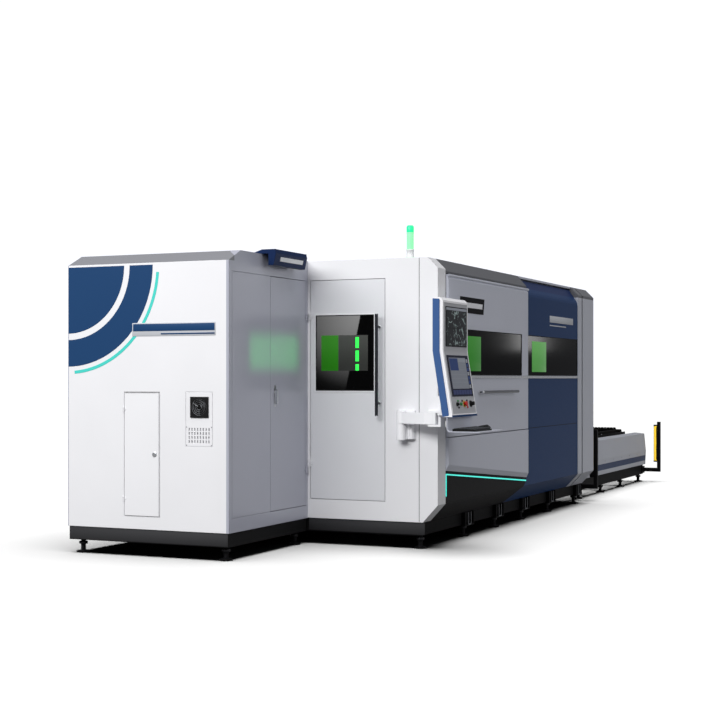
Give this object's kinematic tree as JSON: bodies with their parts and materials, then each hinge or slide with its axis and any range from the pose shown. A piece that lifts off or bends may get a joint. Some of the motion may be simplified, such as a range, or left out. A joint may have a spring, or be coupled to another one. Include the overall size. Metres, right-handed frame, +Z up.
{
  "type": "fiber laser cutting machine",
  "caption": "Enclosed flatbed fibre laser cutter with cabinet, hinged and sliding doors, swivel console, moving gantry and a two-level pallet exchange table.",
  "frame": {"origin": "on the floor at the middle of the bounding box's footprint", "axes": "+X along the machine from the electrical cabinet to the exchange table, -Y the operator's side, +Z up"},
  "size_m": [9.418, 3.2, 2.546],
  "materials": {
    "bed_paint": "workshop enamel",
    "black_paint": "semi-matt powder coat",
    "black_plastic": "moulded, fine grain",
    "dark_panel": "satin powder coat",
    "device_paint": "satin powder coat",
    "face_paint": "fine texture",
    "green_plastic": "moulded",
    "grey_paint": "satin powder coat",
    "ground_steel": "ground",
    "navy_paint": "satin powder coat",
    "red_plastic": "moulded",
    "screen": "gloss display glass",
    "seal_rubber": "matt extruded",
    "sign_paint": "gloss lacquer",
    "slat_steel": "mill finish, heat darkened",
    "slope_paint": "satin powder coat",
    "steel": "brushed",
    "table_paint": "satin powder coat",
    "tinted_window": "gloss, dark tinted",
    "tower_lens": "translucent lens",
    "white_paint": "powder coat, fine texture",
    "yellow_paint": "gloss powder coat",
    "zinc": "zinc plated"
  },
  "bodies": {
    "machine": {"base_frame": "black_paint", "leveling_feet": "zinc", "machine_bed": "bed_paint", "gantry_rails": "ground_steel", "end_wall": "white_paint", "lower_front_panel": "grey_paint", "kick_panel": "dark_panel", "roof_slope": "slope_paint", "roof_panel": "grey_paint", "blue_panel": "navy_paint", "blue_window": "tinted_window", "portal_frame": "grey_paint", "portal_seal": "seal_rubber", "end_portal": "grey_paint", "rear_wall": "grey_paint", "exhaust_duct": "grey_paint", "door_rail": "steel", "table_frame": "black_paint", "table_side_covers": "table_paint", "pallet_tracks": "black_paint", "curtain_posts": "black_paint", "curtain_units": "yellow_paint", "signal_tower": "tower_lens", "sign_box": "sign_paint", "cabinet_shell": "white_paint", "cabinet_base": "black_paint", "fan_housing": "black_plastic", "laser_source": "device_paint", "mounting_plate": "zinc", "wall_bracket": "white_paint"},
    "fan": {"fan_rotor": "black_plastic"},
    "cabinet_door": {"cabinet_door": "white_paint"},
    "cabinet_lock": {"cabinet_lock": "steel"},
    "side_door": {"side_door": "white_paint"},
    "side_lever": {"side_lever": "steel"},
    "end_door": {"end_door": "white_paint", "end_door_window": "tinted_window", "end_door_handle": "steel"},
    "front_door": {"front_door": "grey_paint", "front_door_window": "tinted_window", "front_door_handle": "steel", "door_hangers": "zinc"},
    "console_arm": {"console_arm": "white_paint"},
    "console_knuckle": {"console_knuckle": "white_paint"},
    "console": {"console_shell": "white_paint", "console_face": "face_paint", "upper_monitor": "screen", "touch_screen": "screen", "keyboard_tray": "grey_paint", "keyboard": "black_plastic", "mouse": "black_plastic"},
    "emergency_stop": {"emergency_stop": "red_plastic"},
    "start_button": {"start_button": "green_plastic"},
    "selector_knob": {"selector_knob": "black_plastic"},
    "feed_knob": {"feed_knob": "black_plastic"},
    "gantry": {"gantry_beam": "bed_paint"},
    "head_carriage": {"head_carriage": "grey_paint"},
    "cutting_head": {"cutting_head": "steel"},
    "upper_pallet": {"upper_pallet": "slat_steel"},
    "lower_pallet": {"lower_pallet": "slat_steel"}
  },
  "joints": [
    {"name": "fan_spin", "type": "hinge", "parent": "machine", "child": "fan", "pos_m": [-4.68, 0.2275, 1.1255], "axis": [1, 0, 0], "continuous": true},
    {"name": "cabinet_door_hinge", "type": "hinge", "parent": "machine", "child": "cabinet_door", "pos_m": [-4.7045, 0.884, 0.77], "axis": [0, 0, -1], "range_deg": [0, 110]},
    {"name": "cabinet_lock_turn", "type": "hinge", "parent": "cabinet_door", "child": "cabinet_lock", "pos_m": [-4.7, 0.617, 0.769], "axis": [-1, 0, 0], "range_deg": [0, 90]},
    {"name": "side_door_hinge", "type": "hinge", "parent": "machine", "child": "side_door", "pos_m": [-3.447, -0.0251, 1.2], "axis": [0, 0, -1], "range_deg": [-80, 0]},
    {"name": "side_lever_turn", "type": "hinge", "parent": "side_door", "child": "side_lever", "pos_m": [-3.985, -0.018, 1.23], "axis": [0, -1, 0], "range_deg": [0, 90]},
    {"name": "end_door_hinge", "type": "hinge", "parent": "machine", "child": "end_door", "pos_m": [-3.4201, -0.042, 1.2], "axis": [0, 0, -1], "range_deg": [0, 82]},
    {"name": "front_door_slide", "type": "slide", "parent": "machine", "child": "front_door", "axis": [1, 0, 0], "range_m": [0, 1.75]},
    {"name": "console_arm_swivel", "type": "hinge", "parent": "machine", "child": "console_arm", "pos_m": [-3.47, -0.862, 1.03], "axis": [0, 0, 1], "range_deg": [-75, 0]},
    {"name": "console_swivel", "type": "hinge", "parent": "console_arm", "child": "console_knuckle", "pos_m": [-3.58, -1.172, 1.03], "axis": [0, 0, 1], "range_deg": [-80, 0]},
    {"name": "console_tilt", "type": "hinge", "parent": "console_knuckle", "child": "console", "pos_m": [-3.58, -1.248, 1.076], "axis": [1, 0, 0], "range_deg": [-3, 12]},
    {"name": "emergency_stop_push", "type": "slide", "parent": "console", "child": "emergency_stop", "axis": [0, 0.9876, -0.1567], "range_m": [0, 0.006]},
    {"name": "start_button_push", "type": "slide", "parent": "console", "child": "start_button", "axis": [0, 0.9876, -0.1567], "range_m": [0, 0.004], "stiffness_N_per_m": 400},
    {"name": "selector_turn", "type": "hinge", "parent": "console", "child": "selector_knob", "pos_m": [-3.595, -1.36909, 1.14], "axis": [0, 0.9876, -0.1567], "range_deg": [0, 60]},
    {"name": "feed_knob_turn", "type": "hinge", "parent": "console", "child": "feed_knob", "pos_m": [-3.285, -1.36909, 1.14], "axis": [0, 0.9876, -0.1567], "range_deg": [-135, 135]},
    {"name": "gantry_travel", "type": "slide", "parent": "machine", "child": "gantry", "axis": [1, 0, 0], "range_m": [0, 3]},
    {"name": "carriage_travel", "type": "slide", "parent": "gantry", "child": "head_carriage", "axis": [0, 1, 0], "range_m": [0, 1.42]},
    {"name": "head_plunge", "type": "slide", "parent": "head_carriage", "child": "cutting_head", "axis": [0, 0, -1], "range_m": [0, 0.1]},
    {"name": "upper_pallet_travel", "type": "slide", "parent": "machine", "child": "upper_pallet", "axis": [-1, 0, 0], "range_m": [0, 3.47]},
    {"name": "lower_pallet_travel", "type": "slide", "parent": "machine", "child": "lower_pallet", "axis": [1, 0, 0], "range_m": [0, 3.47]}
  ],
  "couplings": [
    {"joint": "lower_pallet_travel", "follows": "upper_pallet_travel", "ratio": 1}
  ]
}
